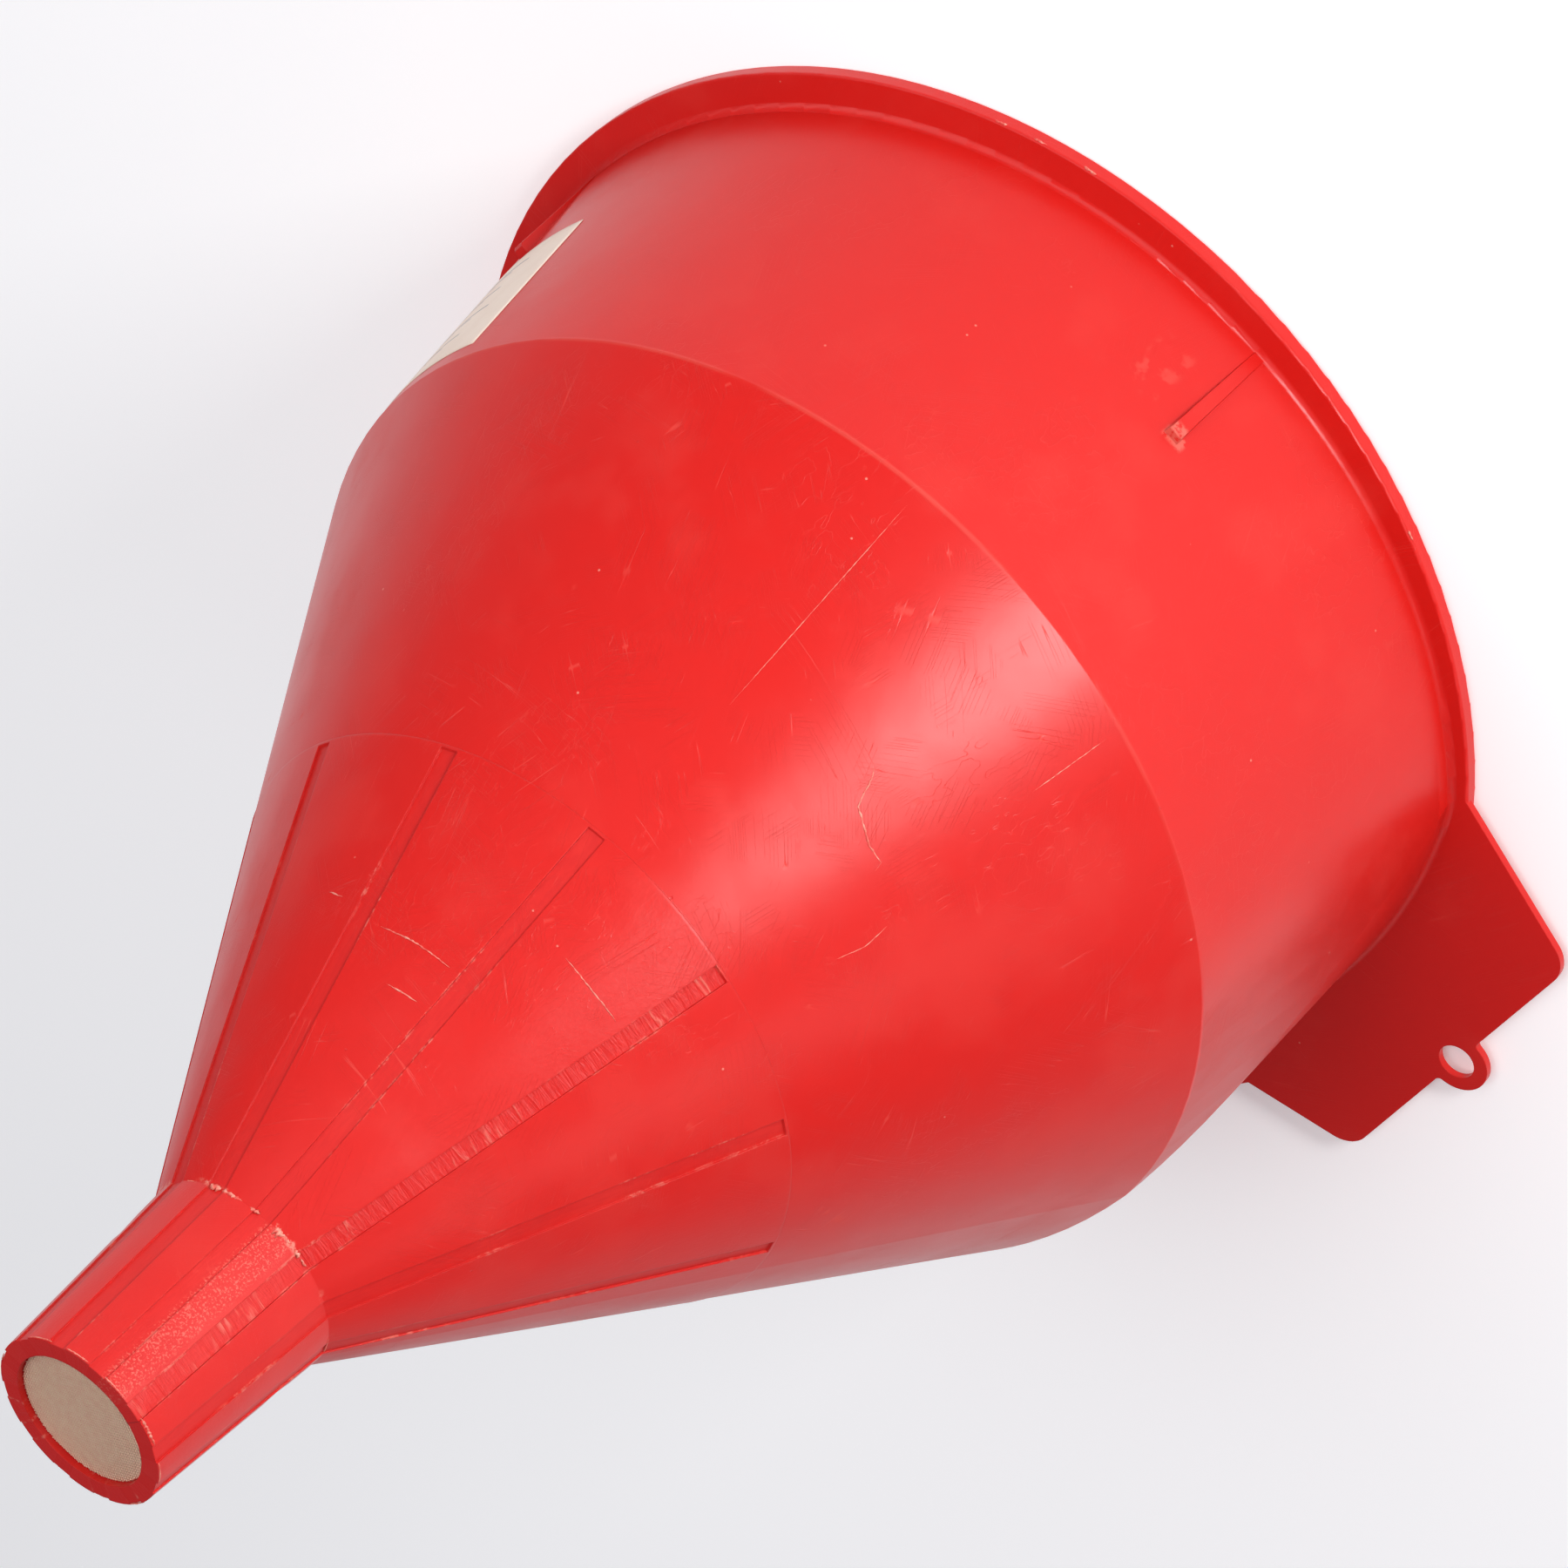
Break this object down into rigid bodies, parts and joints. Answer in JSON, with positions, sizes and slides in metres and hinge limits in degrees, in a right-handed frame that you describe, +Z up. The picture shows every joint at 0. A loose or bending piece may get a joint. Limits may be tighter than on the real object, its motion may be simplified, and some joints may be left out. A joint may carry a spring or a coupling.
{
  "type": "fuel funnel",
  "caption": "Large plastic funnel with a straight-walled bowl, grooved cone and spout, rim tab with a hanging hole, woven strainer disc in the spout end and a paper label.",
  "frame": {"origin": "centre of the mouth, in the plane of the rim", "axes": "+Z up the funnel's axis to the spout tip, +X square to the outer edge of the hanging tab; the funnel stands mouth down"},
  "size_m": [0.2655, 0.2412, 0.2697],
  "materials": {
    "red_plastic": "satin polyethylene, scuffed",
    "wire_cloth": "fine woven wire, slightly dulled",
    "label_paper": "aged cream paper"
  },
  "bodies": {
    "root": {"funnel_body": "red_plastic", "strainer_disc": "wire_cloth", "bowl_label": "label_paper"}
  },
  "joints": []
}
